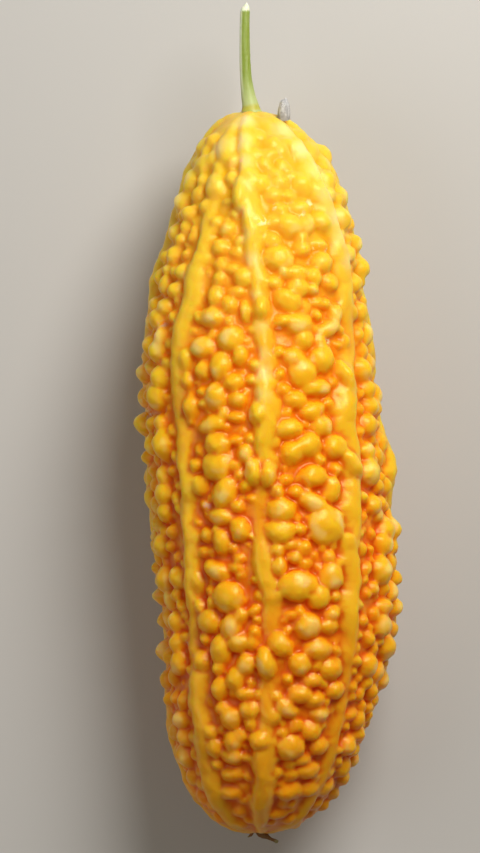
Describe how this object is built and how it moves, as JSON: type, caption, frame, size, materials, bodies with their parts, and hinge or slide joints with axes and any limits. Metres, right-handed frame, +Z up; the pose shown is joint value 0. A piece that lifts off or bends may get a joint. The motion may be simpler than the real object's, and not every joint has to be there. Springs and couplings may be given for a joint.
{
  "type": "bitter gourd",
  "caption": "Ripe bitter gourd lying on its side: long tapered fruit with smooth ridges and warty furrows, a cut stem, a grey stub and a dried blossom end.",
  "frame": {"origin": "on the surface the gourd lies on, under the middle of its bounding box", "axes": "+Y along the fruit towards its stem, +Z up from the surface, +X across the fruit"},
  "size_m": [0.0688, 0.2222, 0.0637],
  "materials": {
    "ripe_skin": "satin",
    "green_stem": "matte",
    "dried_blossom": "matte",
    "grey_stub": "matte"
  },
  "bodies": {
    "root": {"fruit": "ripe_skin", "stem": "green_stem", "blossom_remnant": "dried_blossom", "grey_stub": "grey_stub"}
  },
  "joints": []
}
